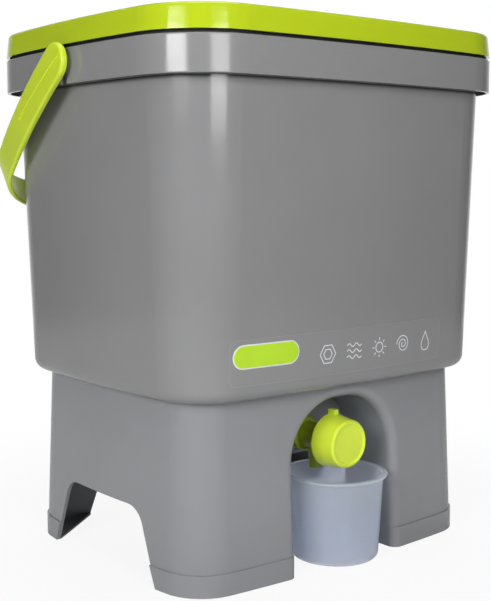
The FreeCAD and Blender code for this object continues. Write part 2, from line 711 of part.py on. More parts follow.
def strainer():
    """Slotted plate on short feet, which lies on the tub's floor and lifts out."""
    low = TUB_FLOOR + STRAINER_FEET
    inset = WALL + STRAINER_CLEARANCE
    plate = Part.Face(tub_outline(low, inset)).extrude(Vector(0, 0, STRAINER_THICK))
    box = plate.BoundBox
    limit_x = box.XMax - STRAINER_MARGIN - SLOT_LENGTH / 2
    limit_y = box.YMax - STRAINER_MARGIN - SLOT_WIDTH / 2
    deep = STRAINER_THICK + 2 * OVERCUT
    foot_x = limit_x + SLOT_LENGTH / 2
    foot_y = SUMP_FRONT + STRAINER_FOOT_RADIUS + STRAINER_MARGIN
    feet = [(-foot_x, 0), (foot_x, 0)]
    feet += [(x, y) for x in (-SUMP_LENGTH / 2, SUMP_LENGTH / 2) for y in (-foot_y, foot_y)]

    def blocked(x, y):
        """Whether a slot here would run into a foot, a finger hole or the plate's round corner."""
        end_x = abs(x) + SLOT_LENGTH / 2
        end_y = abs(y) + SLOT_WIDTH / 2
        corner = TUB_CORNER - TUB_TAPER
        beyond = math.hypot(max(end_x - box.XMax + corner, 0), max(end_y - box.YMax + corner, 0))
        round_things = [(place, STRAINER_FOOT_RADIUS) for place in feet]
        round_things += [((side, 0), FINGER_HOLE_RADIUS) for side in (-FINGER_HOLE_X, FINGER_HOLE_X)]
        for (middle_x, middle_y), radius in round_things:
            if abs(x - middle_x) < SLOT_LENGTH / 2 + radius and abs(y - middle_y) < SLOT_WIDTH + radius:
                return True
        return beyond > corner - STRAINER_MARGIN

    cuts = []
    for x in steps(limit_x, SLOT_PITCH_X):
        for y in steps(limit_y, SLOT_PITCH_Y):
            if not blocked(x, y):
                place = Vector(x - SLOT_LENGTH / 2, y - SLOT_WIDTH / 2, low - OVERCUT)
                cuts.append(Part.makeBox(SLOT_LENGTH, SLOT_WIDTH, deep, place))
    for x in (-FINGER_HOLE_X, FINGER_HOLE_X):
        cuts.append(Part.makeCylinder(FINGER_HOLE_RADIUS, deep, Vector(x, 0, low - OVERCUT), Z_AXIS))
    shape = plate.cut(cuts)
    for x, y in feet:
        foot = Part.makeCylinder(STRAINER_FOOT_RADIUS, STRAINER_FEET + STRAINER_THICK, Vector(x, y, TUB_FLOOR), Z_AXIS)
        shape = shape.fuse(foot)
    return shape.removeSplitter()


def tap_body():
    """Flange, barrel, spout and threaded tail in one moulding, bored through."""
    flange = rod_y(FLANGE_RADIUS, FLANGE_BACK, FLANGE_FRONT)
    rims = [edge for edge in flange.Edges if edge.BoundBox.YLength < 0.01]
    flange = flange.makeFillet(FLANGE_EDGE, rims)
    tail_end = TAP_WALL_OUT + TAP_TAIL
    tail = rod_y(TAP_TAIL_RADIUS, FLANGE_FRONT, tail_end)
    barrel = rod_y(BARREL_RADIUS, FLANGE_FRONT, BARREL_FRONT)
    spout = Part.makeCone(SPOUT_TIP_RADIUS, SPOUT_TOP_RADIUS, TAP_Z - SPOUT_TIP_Z,
                          Vector(0, SPOUT_Y, SPOUT_TIP_Z), Z_AXIS)
    shape = flange.fuse([tail, barrel, spout])
    seat = rod_y(PLUG_RADIUS, BARREL_FRONT - OVERCUT, FLANGE_FRONT + PLUG_TAIL_GAP)
    waterway = rod_y(TAP_BORE_RADIUS, FLANGE_FRONT, tail_end + OVERCUT)
    outlet = Part.makeCylinder(SPOUT_BORE_RADIUS, TAP_Z - SPOUT_TIP_Z + OVERCUT,
                               Vector(0, SPOUT_Y, SPOUT_TIP_Z - OVERCUT), Z_AXIS)
    return shape.cut([seat, waterway, outlet]).removeSplitter()


def tap_knob():
    """Knob with a hollow plug that turns in the barrel; its port meets the spout after a quarter turn."""
    depth = KNOB_LENGTH
    plug_end = FLANGE_FRONT - KNOB_FRONT
    groove = RING_FROM_FACE
    plug = PLUG_RADIUS - PLUG_FIT
    groove_floor = plug - 2 * RING_SECTION
    lean = (KNOB_BACK_RADIUS - KNOB_FRONT_RADIUS) / depth
    profile = [
        (0, KNOB_DISC_DEPTH),
        (KNOB_DISC_RADIUS, KNOB_DISC_DEPTH),
        (KNOB_DISC_RADIUS + KNOB_DISC_DEPTH, 0),
        (KNOB_FRONT_RADIUS - KNOB_EDGE, 0),
        (KNOB_FRONT_RADIUS, KNOB_EDGE),
        (KNOB_BACK_RADIUS - KNOB_EDGE * lean, depth - KNOB_EDGE),
        (KNOB_BACK_RADIUS - KNOB_EDGE, depth),
        (KNOB_BACK_RADIUS - KNOB_WALL, depth),
        (KNOB_FRONT_RADIUS - KNOB_WALL + lean * KNOB_FACE, KNOB_FACE + KNOB_DISC_DEPTH),
        (plug, KNOB_FACE + KNOB_DISC_DEPTH),
        (plug, groove - RING_SECTION),
        (groove_floor, groove - RING_SECTION),
        (groove_floor, groove + RING_SECTION),
        (plug, groove + RING_SECTION),
        (plug, plug_end),
        (PLUG_BORE_RADIUS, plug_end),
        (PLUG_BORE_RADIUS, groove + 2 * PLUG_RADIUS),
        (0, groove + 2 * PLUG_RADIUS),
    ]
    shape = turned(profile, Vector(0, KNOB_FRONT, TAP_Z), Y_AXIS)
    port = Part.makeCylinder(SPOUT_BORE_RADIUS, PLUG_RADIUS + OVERCUT, Vector(0, SPOUT_Y, TAP_Z), X_AXIS)
    nib_low = TAP_Z + KNOB_FRONT_RADIUS
    nib_high = TAP_Z + KNOB_BACK_RADIUS + NIB_HEIGHT
    nib = Part.makeBox(NIB_WIDTH, NIB_LENGTH, nib_high - nib_low,
                       Vector(-NIB_WIDTH / 2, KNOB_BACK - NIB_LENGTH, nib_low))
    hollow = rod_y(KNOB_FRONT_RADIUS - KNOB_WALL + 1e-3, KNOB_BACK + OVERCUT, KNOB_FRONT + KNOB_FACE + KNOB_DISC_DEPTH)
    return shape.cut(port).fuse(nib.cut(hollow)).removeSplitter()


def plug_ring():
    """O-ring in the plug's groove."""
    middle = PLUG_RADIUS - PLUG_FIT - RING_SECTION
    return Part.makeTorus(middle, RING_SECTION, Vector(0, KNOB_FRONT + RING_FROM_FACE, TAP_Z), Y_AXIS)


def outer_washer():
    return tube_y(WASHER_RADIUS, TAP_TAIL_RADIUS + TAP_HOLE_CLEARANCE, TAP_WALL_OUT, FLANGE_BACK)


def inner_washer():
    return tube_y(WASHER_RADIUS, TAP_TAIL_RADIUS + TAP_HOLE_CLEARANCE, TAP_WALL_IN, TAP_WALL_IN + INNER_WASHER_THICK)


def back_nut():
    """Hexagonal nut on the tap's tail, inside the sump, with a flat side down."""
    start = TAP_WALL_IN + INNER_WASHER_THICK
    reach = NUT_FLATS / 2 / math.cos(math.pi / 6)
    corners = []
    for k in range(6):
        turn = math.pi / 3 * k
        corners.append(Vector(reach * math.cos(turn), start, TAP_Z + reach * math.sin(turn)))
    block = Part.Face(Part.makePolygon(corners + corners[:1])).extrude(Vector(0, NUT_THICK, 0))
    return block.cut(rod_y(TAP_TAIL_RADIUS + NUT_FIT, start - OVERCUT, start + NUT_THICK + OVERCUT))


def cup():
    """Tapered cup with a rolled rim and a shallow recess under its floor."""
    def profile(radius_bottom, radius_top, low, high, round_bottom):
        """Solid of one straight tapered wall with a rounded bottom edge."""
        solid = Part.makeCone(radius_bottom, radius_top, high - low, Vector(0, 0, low), Z_AXIS)
        return solid.makeFillet(round_bottom, edges_at(solid, low)[:1])

    outer = profile(CUP_BOTTOM_RADIUS, CUP_TOP_RADIUS, 0.0, CUP_HEIGHT, CUP_BOTTOM_ROUND)
    floor = CUP_FOOT_RECESS + CUP_FLOOR
    inner = profile(CUP_BOTTOM_RADIUS - CUP_WALL, CUP_TOP_RADIUS - CUP_WALL, floor, CUP_HEIGHT + OVERCUT,
                    CUP_BOTTOM_ROUND - CUP_WALL)
    rim = Part.makeCylinder(CUP_RIM_RADIUS, CUP_RIM, Vector(0, 0, CUP_HEIGHT - CUP_RIM), Z_AXIS)
    rim = rim.makeFillet((CUP_RIM - CUP_RIM_FLAT) / 2, [edge for edge in rim.Edges if edge.BoundBox.ZLength < 0.01])
    foot = Part.makeCylinder(CUP_FOOT_RADIUS, CUP_FOOT_RECESS + OVERCUT, Vector(0, 0, -OVERCUT), Z_AXIS)
    shape = outer.fuse(rim).cut([inner, foot]).removeSplitter()
    shape.translate(Vector(CUP_X, CUP_Y, 0))
    return shape


NODES = {
    "tub": tub,
    "stand": stand,
    "stand_screws": stand_screws,
    "lid": lid,
    "lid_seal": lid_seal,
    "carrying_handle": handle,
    "strainer_plate": strainer,
    "tap_body": tap_body,
    "tap_knob": tap_knob,
    "tap_plug_ring": plug_ring,
    "tap_outer_washer": outer_washer,
    "tap_inner_washer": inner_washer,
    "tap_back_nut": back_nut,
    "collection_cup": cup,
}

os.makedirs("parts", exist_ok=True)
for name, make in NODES.items():
    shape = make()
    print(name, "solids", len(shape.Solids), "valid", shape.isValid(), "volume", round(shape.Volume))
    shape.exportStep("parts/" + name + ".step")
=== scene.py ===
"""Bokashi bin in a white studio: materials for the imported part, and the label on its front."""
import json
import math

import bmesh
import bpy
from mathutils import Matrix, Vector
from mathutils.bvhtree import BVHTree


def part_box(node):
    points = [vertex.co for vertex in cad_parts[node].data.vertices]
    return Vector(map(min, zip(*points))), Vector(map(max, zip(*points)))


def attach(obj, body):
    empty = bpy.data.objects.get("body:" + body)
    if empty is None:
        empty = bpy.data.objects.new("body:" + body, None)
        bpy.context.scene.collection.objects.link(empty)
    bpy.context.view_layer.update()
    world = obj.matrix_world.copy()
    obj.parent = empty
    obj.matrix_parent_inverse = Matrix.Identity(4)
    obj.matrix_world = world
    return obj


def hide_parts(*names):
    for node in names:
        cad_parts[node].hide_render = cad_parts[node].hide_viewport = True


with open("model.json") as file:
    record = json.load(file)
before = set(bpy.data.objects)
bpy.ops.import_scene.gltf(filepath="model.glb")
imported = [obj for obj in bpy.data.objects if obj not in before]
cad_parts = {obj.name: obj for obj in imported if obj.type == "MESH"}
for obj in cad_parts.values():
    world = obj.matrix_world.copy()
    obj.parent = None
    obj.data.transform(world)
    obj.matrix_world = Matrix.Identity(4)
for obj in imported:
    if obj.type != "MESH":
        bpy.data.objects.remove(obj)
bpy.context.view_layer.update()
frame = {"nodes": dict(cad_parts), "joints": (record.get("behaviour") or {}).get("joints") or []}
nodes = frame["nodes"]

# Camera, in metres and degrees, with the lens in pixels of a picture 491 wide and 601 high
PICTURE_WIDTH = 491
PICTURE_HEIGHT = 601
EYE = Vector((-0.56984, -0.68908, 0.2864))
YAW = -38.468
PITCH = -5.072
ROLL = -0.193
FOCAL_PIXELS = 1098.43
AXIS_X = 228.35
AXIS_Y = 277.89
SENSOR = 36.0
CLIP_START = 0.01

# Upright softboxes, in degrees and metres, placed about the bin's near corner
NEAR_CORNER = (-0.14, -0.125)
LEFT_BOX = {"azimuth": -160, "distance": 1.6, "half_angle": 13.5}
RIGHT_BOX = {"azimuth": -100, "distance": 0.85, "half_angle": 12.5}
BACK_BOX = {"azimuth": 52, "distance": 1.9, "half_angle": 20}

# Lowest and highest edge of each softbox, in metres, and its watts
LEFT_SPAN = (0.45, 0.97)
LEFT_WATTS = 17.33
LEFT_FILL_SPAN = (0.97, 1.05)
LEFT_FILL_WATTS = 2.67
RIGHT_SPAN = (0.3, 0.7)
RIGHT_WATTS = 3.43
RIGHT_FILL_SPAN = (0.7, 1.0)
RIGHT_FILL_WATTS = 2.57
BACK_SPAN = (0.4, 1.3)
BACK_WATTS = 20.0

# Overhead lamp, in metres and watts
OVER_SIZE = (1.2, 1.2)
OVER_PLACE = (0, 0, 1.8)
OVER_WATTS = 12.0

# Surroundings as strengths, and the cosines between which reflections pass from the room to the backdrop
AMBIENT = 0.03
ROOM = 0.1
BACKDROP_EDGE = (0.55, 0.95)

# Floor, in metres, with its share of plain white near the bin and the colour of the rest
FLOOR_REACH = 1.2
FLOOR_SIDES = 96
FLOOR_FADE = (0.2, 0.5)
FLOOR_WHITE = 0.9
FLOOR_GREY = 0.8

# Plastics and zinc, as linear colours, and how much paler than the tub the label's film and its edge are
GREY = (0.235, 0.235, 0.239)
STAND_GREY = (0.258, 0.262, 0.275)
LIME = (0.43, 0.545, 0.012)
HANDLE_LIME = (0.56, 0.7, 0.03)
# Lighter copy of the lid's lime that paints the light falling on the tap's knob
KNOB_LIT_LIME = (0.68, 0.83, 0.05)
# Darker copy of the lid's lime that paints shade on the tap's body and back nut, deep in the stand's niche
TAP_SHADED_LIME = (0.3, 0.39, 0.006)
# Lighter lime that paints the highlight on the crest of the strap's rib
CREASE_HIGHLIGHT_LIME = (0.74, 0.9, 0.05)
BADGE_LIME = (0.45, 0.71, 0.02)
PRINT_WHITE = (0.72, 0.73, 0.75)
DARK = (0.035, 0.035, 0.037)
MILK = (0.78, 0.84, 0.99)
RUBBER = (0.012, 0.012, 0.013)
ZINC = (0.55, 0.55, 0.57)
FILM_PALER = 1.04
EDGE_PALER = 1.2

# Skin of the plastics, with depths in metres and the part of the noise that is used
NOISE_SPAN = (0.3, 0.7)
SKIN_GRAIN = 700.0
SKIN_BUMP = 0.12
SKIN_DEPTH = 0.0001
FINE_DEPTH = 0.00005
PRINT_GRAIN = 1200.0
PRINT_BUMP = 0.04

# Upright part of the normal between glossy faces and matt tops, and the stretch of the screws' marks
TOP_FACING = (0.8, 0.97)
TURNING_MARKS = (1.0, 1.0, 8.0)

# Clouded plastic of the cup
MILKY_SOCKETS = {
    "Subsurface Weight": 1.0,
    "Subsurface Radius": (1, 1, 1),
    "Subsurface Scale": 0.03,
    "Transmission Weight": 0.45,
    "IOR": 1.15,
}

# Label on the tub's front, in metres, with the degrees by which a bar's end stays short of a point
FILM_X = (-0.1175, 0.0915)
FILM_Z = (0.147, 0.1795)
FILM_CORNER = 0.006
FILM_HEIGHT = 0.0001
BADGE_X = (-0.1149, -0.0577)
BADGE_Z = (0.1588, 0.176)
BADGE_CORNER = (BADGE_Z[1] - BADGE_Z[0]) / 2
BADGE_BORDER = 0.0009
BORDER_HEIGHT = 0.00022
BADGE_HEIGHT = 0.00034
MARK_FIRST = -0.031
MARK_PITCH = 0.0262
MARK_Z = 0.1625
MARK_SIZE = 0.0074
MARK_LINE = 0.0007
MARK_HEIGHT = 0.0002
EDGE_LINE = 0.0005
SINK = 0.0002
BEVEL = 0.0002
END_FLAT = 3.0
CORNER_STEPS = 10
STRAIGHT_STEPS = 40
BAR_ROWS = (1.0, 0.5, 0.0, -0.5, -1.0)

# Painted shade in the corner under the tub's collar, and the crease along the handle's strap with its
# painted highlight, in metres and degrees
COLLAR_LOW = 0.3549
CORNER_SHADE = 0.0026
CORNER_DARK = 0.02
STRAP_HANG = 35.506
CREASE_ALONG = (-0.009, 0.069)
CREASE_ACROSS = (-0.0024, 0.0024)
CREASE_WIDTH = 0.0009
CREASE_HEIGHT = 0.00015
CREASE_STEPS = 40

# Collection cup, in metres
CUP_BOTTOM_RADIUS = 0.0332
CUP_TOP_RADIUS = 0.0372
CUP_WALL = 0.0018
CUP_FLOOR = 0.0032
CUP_ROUND = 0.004
CUP_LIP = 0.0018
LIP_ROUND = 0.0008
LIP_CORNER = 0.0005
FOOT_RADIUS = 0.026
FOOT_RECESS = 0.0012
FOOT_CORNER = 0.0004
CUP_TURNS = 256
CUP_ROWS = 24
FOOT_ROWS = 4
FLOOR_ROWS = 8
FLOOR_FIRST = 6
QUARTER_STEPS = 8

# Pan-head screws under the stand, in metres
SCREW_HEAD_RADIUS = 0.0042
SCREW_HEAD = 0.0028
SCREW_CORE = 0.0015
SCREW_CREST = 0.00198
SCREW_PITCH = 0.0014
SCREW_TIP = 0.0025
RECESS_REACH = 0.0024
RECESS_HALF = 0.0007
RECESS_DEPTH = 0.0015
RECESS_WALL = 0.00015

# Form of the screws: steps, the head's roundness, and shares of the recess, the pitch and the tip
SCREW_STEPS = 64
HEAD_ROWS = 24
HEAD_POWER = 4
THREAD_ROWS = 12
THREAD_HALF = 0.25
RECESS_SLOPE = 2.5
TIP_LEFT = 0.02


def feed(tree, source, target):
    """Links a socket to an input, or sets the input to a number."""
    if isinstance(source, bpy.types.NodeSocket):
        tree.links.new(source, target)
    else:
        target.default_value = source


def calculate(tree, operation, first, second):
    """Result of an operation on two sockets or numbers."""
    node = tree.nodes.new("ShaderNodeMath")
    node.operation = operation
    feed(tree, first, node.inputs[0])
    feed(tree, second, node.inputs[1])
    return node.outputs[0]


def stretched(tree, value, source, target=(0.0, 1.0), smooth=False):
    """The value, taken from one span to another and kept inside it."""
    node = tree.nodes.new("ShaderNodeMapRange")
    if smooth:
        node.interpolation_type = "SMOOTHSTEP"
    for end, number in zip(("From Min", "From Max", "To Min", "To Max"), (*source, *target)):
        node.inputs[end].default_value = number
    tree.links.new(value, node.inputs["Value"])
    return node.outputs["Result"]


def height_of(tree, vector):
    """The upright part of a vector."""
    split = tree.nodes.new("ShaderNodeSeparateXYZ")
    tree.links.new(vector, split.inputs["Vector"])
    return split.outputs["Z"]


def new_material(name):
    """Material with one Principled shader, and a node for the coordinates that its textures use."""
    material = bpy.data.materials.new(name)
    material.use_nodes = True
    material.node_tree.nodes.new("ShaderNodeTexCoord")
    return material


def nodes_of(material):
    """The material's tree, its shader and its coordinates."""
    tree = material.node_tree
    return tree, tree.nodes["Principled BSDF"], tree.nodes["Texture Coordinate"].outputs


def noise(material, scale, detail=2.0, stretch=None):
    """Noise over the object's own coordinates, stretched along an axis where asked."""
    tree, _, places = nodes_of(material)
    place = places["Object"]
    texture = tree.nodes.new("ShaderNodeTexNoise")
    texture.inputs["Scale"].default_value = scale
    texture.inputs["Detail"].default_value = detail
    if stretch:
        mapping = tree.nodes.new("ShaderNodeMapping")
        mapping.inputs["Scale"].default_value = stretch
        tree.links.new(place, mapping.inputs["Vector"])
        place = mapping.outputs["Vector"]
    tree.links.new(place, texture.inputs["Vector"])
    return texture.outputs["Fac"]


def vary_colour(material, factor, colour, drift):
    """Colour that drifts a little darker and lighter with the factor."""
    tree, shader, _ = nodes_of(material)
    ramp = tree.nodes.new("ShaderNodeValToRGB")
    for stop, position, share in zip(ramp.color_ramp.elements, NOISE_SPAN, (1 - drift, 1 + drift)):
        stop.position = position
        stop.color = [c * share for c in colour] + [1]
    tree.links.new(factor, ramp.inputs["Fac"])
    tree.links.new(ramp.outputs["Color"], shader.inputs["Base Color"])


def vary_roughness(material, factor, rough):
    """Roughness that drifts between two values with the factor."""
    tree, shader, _ = nodes_of(material)
    tree.links.new(stretched(tree, factor, NOISE_SPAN, rough), shader.inputs["Roughness"])


def add_bump(material, factor, strength, depth):
    """Fine relief that follows the factor."""
    tree, shader, _ = nodes_of(material)
    bump = tree.nodes.new("ShaderNodeBump")
    bump.inputs["Strength"].default_value = strength
    bump.inputs["Distance"].default_value = depth
    tree.links.new(factor, bump.inputs["Height"])
    tree.links.new(bump.outputs["Normal"], shader.inputs["Normal"])


def moulded(name, colour, drift, rough, grain=SKIN_GRAIN, bump=SKIN_BUMP):
    """Injection-moulded plastic: faint drift of colour, uneven gloss and a fine skin."""
    material = new_material(name)
    vary_colour(material, noise(material, scale=14.0, detail=4.0), colour, drift)
    vary_roughness(material, noise(material, scale=90.0, detail=3.0), rough)
    add_bump(material, noise(material, scale=grain, detail=3.0), bump, SKIN_DEPTH)
    return material


def shade_corner(material, top, depth):
    """Paints shade into the colour towards the corner that lies at that height, over that depth below it.
    """
    tree, shader, places = nodes_of(material)
    height = height_of(tree, places["Object"])
    below = calculate(tree, "LESS_THAN", height, top)
    near = stretched(tree, height, (top - depth, top))
    amount = calculate(tree, "MULTIPLY", below, near)
    dim = tree.nodes.new("ShaderNodeMixRGB")
    dim.inputs["Color2"].default_value = (CORNER_DARK, CORNER_DARK, CORNER_DARK, 1)
    plain = shader.inputs["Base Color"].links[0].from_socket
    tree.links.new(amount, dim.inputs["Fac"])
    tree.links.new(plain, dim.inputs["Color1"])
    tree.links.new(dim.outputs["Color"], shader.inputs["Base Color"])


def matt_top(material, rough):
    """Fine grain that takes the gloss off the faces that look up."""
    tree, shader, places = nodes_of(material)
    upward = stretched(tree, height_of(tree, places["Normal"]), TOP_FACING, smooth=True)
    grain = stretched(tree, noise(material, scale=400.0, detail=3.0), (0.0, 1.0), rough)
    gloss = shader.inputs["Roughness"].links[0].from_socket
    blend = tree.nodes.new("ShaderNodeMix")
    tree.links.new(upward, blend.inputs["Factor"])
    tree.links.new(gloss, blend.inputs["A"])
    tree.links.new(grain, blend.inputs["B"])
    tree.links.new(blend.outputs["Result"], shader.inputs["Roughness"])


def milky(name):
    """Thin clouded plastic that lets some light through."""
    material = new_material(name)
    vary_colour(material, noise(material, scale=12.0), MILK, drift=0.02)
    vary_roughness(material, noise(material, scale=30.0), rough=(0.16, 0.22))
    add_bump(material, noise(material, scale=SKIN_GRAIN), strength=0.05, depth=FINE_DEPTH)
    shader = nodes_of(material)[1]
    for socket, value in MILKY_SOCKETS.items():
        shader.inputs[socket].default_value = value
    return material


def plated(name):
    """Zinc-plated steel, brushed round by the tool that turned it."""
    material = new_material(name)
    vary_colour(material, noise(material, scale=300.0, detail=3.0), ZINC, drift=0.12)
    vary_roughness(material, noise(material, scale=900.0), rough=(0.28, 0.45))
    add_bump(material, noise(material, scale=500.0, stretch=TURNING_MARKS), strength=0.2, depth=FINE_DEPTH)
    nodes_of(material)[1].inputs["Metallic"].default_value = 1.0
    return material


grey = moulded("grey_moulded", GREY, drift=0.025, rough=(0.13, 0.19))
# Painted shade: the tub's colour darkens in a thin band under the collar's edge
shade_corner(grey, COLLAR_LOW, CORNER_SHADE)
stand_grey = moulded("stand_moulded", STAND_GREY, drift=0.025, rough=(0.15, 0.21))
lime = moulded("lime_moulded", LIME, drift=0.03, rough=(0.07, 0.1), bump=0.05)
matt_top(lime, rough=(0.42, 0.55))
handle_lime = moulded("handle_moulded", HANDLE_LIME, drift=0.03, rough=(0.3, 0.38))
# Painted light: the tap's knob takes a lighter copy of the lime
knob_lit_lime = moulded("knob_painted_light", KNOB_LIT_LIME, drift=0.03, rough=(0.2, 0.26))
# Painted shade: the tap's body and nut take a darker copy of the lime
tap_shaded_lime = moulded("tap_painted_shade", TAP_SHADED_LIME, drift=0.03, rough=(0.2, 0.26))
# Painted highlight on the strap's crease, in lighter lime
crease_highlight_lime = moulded("crease_painted_highlight", CREASE_HIGHLIGHT_LIME, drift=0.03, rough=(0.12, 0.18))
dark = moulded("dark_moulded", DARK, drift=0.1, rough=(0.5, 0.65), grain=500.0, bump=0.4)
rubber = moulded("seal_moulded", RUBBER, drift=0.15, rough=(0.6, 0.8), grain=900.0, bump=0.5)
film = moulded("label_film", [c * FILM_PALER for c in GREY], drift=0.02, rough=(0.08, 0.13))
film_edge = moulded("film_edge", [c * EDGE_PALER for c in GREY], drift=0.05, rough=(0.1, 0.2))
badge_lime = moulded("badge_print", BADGE_LIME, drift=0.03, rough=(0.3, 0.38), grain=PRINT_GRAIN,
                     bump=PRINT_BUMP)
print_white = moulded("white_print", PRINT_WHITE, drift=0.03, rough=(0.3, 0.4), grain=PRINT_GRAIN,
                      bump=PRINT_BUMP)
milk = milky("milky_plastic")
zinc = plated("zinc_plated")

FINISHES = {
    "tub": grey,
    "stand": stand_grey,
    "stand_screws": zinc,
    "lid": lime,
    "lid_seal": rubber,
    "carrying_handle": handle_lime,
    "strainer_plate": dark,
    "tap_body": tap_shaded_lime,
    "tap_knob": knob_lit_lime,
    "tap_plug_ring": rubber,
    "tap_outer_washer": rubber,
    "tap_inner_washer": rubber,
    "tap_back_nut": tap_shaded_lime,
    "collection_cup": milk,
}
for node, material in FINISHES.items():
    for holder in nodes[node].material_slots:
        holder.material = material


def skin_of(node):
    """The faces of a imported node, for laying things on it."""
    mesh = nodes[node].data
    corners = [v.co for v in mesh.vertices]
    return BVHTree.FromPolygons(corners, [p.vertices for p in mesh.polygons])


tub_skin = skin_of("tub")
strap_skin = skin_of("carrying_handle")


def on_front(x, z, height):
    """Point over the tub's front wall at that height above its skin."""
    spot, normal, _, _ = tub_skin.ray_cast(Vector((x, -1.0, z)), Vector((0, 1, 0)))
    return spot + normal * height


def turn_outwards(mesh):
    """Winds the faces of closed shells so that they look outwards."""
    shell = bmesh.new()
    shell.from_mesh(mesh)
    bmesh.ops.recalc_face_normals(shell, faces=shell.faces)
    shell.to_mesh(mesh)
    shell.free()


def add_piece(name, vertices, faces, material, body="bin"):
    """Adds a closed piece with that finish, which rides on that body."""
    mesh = bpy.data.meshes.new(name)
    mesh.from_pydata(vertices, [], faces)
    mesh.validate()
    turn_outwards(mesh)
    piece = bpy.data.objects.new(name, mesh)
    bpy.context.scene.collection.objects.link(piece)
    mesh.materials.append(material)
    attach(piece, body)
    return piece


def bar_stations(span_x, span_z, corner, inset):
    """Half-heights along a bar with round corners, as pairs of x and half-height from left to right."""
    middle = (span_x[0] + span_x[1]) / 2
    straight = (span_x[1] - span_x[0]) / 2 - corner
    tall = (span_z[1] - span_z[0]) / 2 - corner
    radius = corner - inset
    turns = [math.radians(END_FLAT + (90 - END_FLAT) * k / CORNER_STEPS) for k in range(CORNER_STEPS + 1)]
    bend = [(radius * math.cos(a), tall + radius * math.sin(a)) for a in turns]
    left = [(middle - straight - out, half) for out, half in bend]
    shares = [2 * k / STRAIGHT_STEPS - 1 for k in range(1, STRAIGHT_STEPS)]
    inner = [(middle + straight * share, tall + radius) for share in shares]
    right = [(middle + straight + out, half) for out, half in reversed(bend)]
    return left + inner + right


def raised_bar(name, span_x, span_z, corner, height, material, inset=0.0):
    """Thin raised patch with round corners and a bevelled rim, laid on the tub's front."""
    centre = (span_z[0] + span_z[1]) / 2
    count = len(BAR_ROWS)
    vertices = []
    for edge, lift in ((inset + BEVEL, height), (inset, -SINK)):
        for x, half in bar_stations(span_x, span_z, corner, edge):
            vertices += [on_front(x, centre + half * row, lift) for row in BAR_ROWS]
    below = len(vertices) // 2
    stations = below // count
    faces = []
    for k in range(stations - 1):
        for j in range(count - 1):
            top = (k * count + j, k * count + j + 1, (k + 1) * count + j + 1, (k + 1) * count + j)
            faces += [top, tuple(below + vertex for vertex in reversed(top))]
    loop = [k * count for k in range(stations)]
    loop += [(stations - 1) * count + j for j in range(1, count)]
    loop += [k * count + count - 1 for k in range(stations - 2, -1, -1)]
    loop += list(range(count - 2, 0, -1))
    for here, after in zip(loop, loop[1:] + loop[:1]):
        faces.append((here, after, below + after, below + here))
    add_piece(name, vertices, faces, material)


raised_bar("label_film", FILM_X, FILM_Z, FILM_CORNER, FILM_HEIGHT, film)
raised_bar("badge_border", BADGE_X, BADGE_Z, BADGE_CORNER, BORDER_HEIGHT, print_white)
raised_bar("badge_face", BADGE_X, BADGE_Z, BADGE_CORNER, BADGE_HEIGHT, badge_lime,
           BADGE_BORDER)


def circle(radius, count=40):
    """Points round a circle."""
    turns = [2 * math.pi * k / count for k in range(count)]
    return [(radius * math.cos(t), radius * math.sin(t)) for t in turns]


def drop(steps=48, fullness=0.85, taper=1.5):
    """Outline of a falling drop, its point up."""
    points = []
    for k in range(steps):
        t = 2 * math.pi * k / steps
        width = math.sin(t) * math.sin(t / 2) ** taper
        points.append((fullness * width, math.cos(t)))
    return points


def wave(level, steps=30, swing=0.16, waves=2):
    """Waves from left to right at that level."""
    return [(-1 + 2 * k / steps, level + swing * math.sin(2 * math.pi * waves * k / steps))
            for k in range(steps + 1)]


def polygon(sides, radius, per_side=6):
    """Outline of a regular polygon, with several points along each side."""
    corners = circle(radius, sides)
    return [(a[0] + (b[0] - a[0]) * s / per_side, a[1] + (b[1] - a[1]) * s / per_side)
            for a, b in zip(corners, corners[1:] + corners[:1]) for s in range(per_side)]


def spiral(steps=80, first=8, reach=0.95, half_turns=5):
    """Line that winds outwards from near the middle."""
    points = []
    for k in range(first, steps + 1):
        radius = reach * k / steps
        t = half_turns * math.pi * k / steps
        points.append((radius * math.cos(t), radius * math.sin(t)))
    return points


def rays(count=8, radii=(0.72, 0.86, 1.0)):
    """Short lines that point away from the middle."""
    turns = [math.radians(360 * k / count) for k in range(count)]
    return [[(r * math.cos(t), r * math.sin(t)) for r in radii] for t in turns]


# Lines of each mark, at unit size, each with whether it closes on itself
MARKS = [
    [(polygon(sides=6, radius=1.0), True), (polygon(sides=6, radius=0.55), True)],
    [(wave(level), False) for level in (0.6, 0.0, -0.6)],
    [(circle(radius=0.5), True)] + [(line, False) for line in rays()],
    [(spiral(), False)],
    [(drop(), True)],
]


def ribbon(vertices, faces, points, closed, width=MARK_LINE, lay=on_front, raised=MARK_HEIGHT):
    """Adds a thin raised line through the points, which lie on the tub's front or where lay puts them."""
    section = ((1, -SINK), (1, raised), (-1, raised), (-1, -SINK))
    size = len(section)
    count = len(points)
    first = len(vertices)
    for k in range(count):
        before = points[k - 1] if closed or k else points[k]
        after = points[(k + 1) % count] if closed or k < count - 1 else points[k]
        along = Vector((after[0] - before[0], after[1] - before[1])).normalized()
        side = Vector((-along.y, along.x)) * width / 2
        for sign, height in section:
            vertices.append(lay(points[k][0] + sign * side.x, points[k][1] + sign * side.y, height))
    for k in range(count if closed else count - 1):
        a = first + size * k
        b = first + size * ((k + 1) % count)
        faces += [(a + j, a + (j + 1) % size, b + (j + 1) % size, b + j) for j in range(size)]
    if not closed:
        last = first + size * (count - 1)
        faces.append(tuple(first + j for j in reversed(range(size))))
        faces.append(tuple(last + j for j in range(size)))


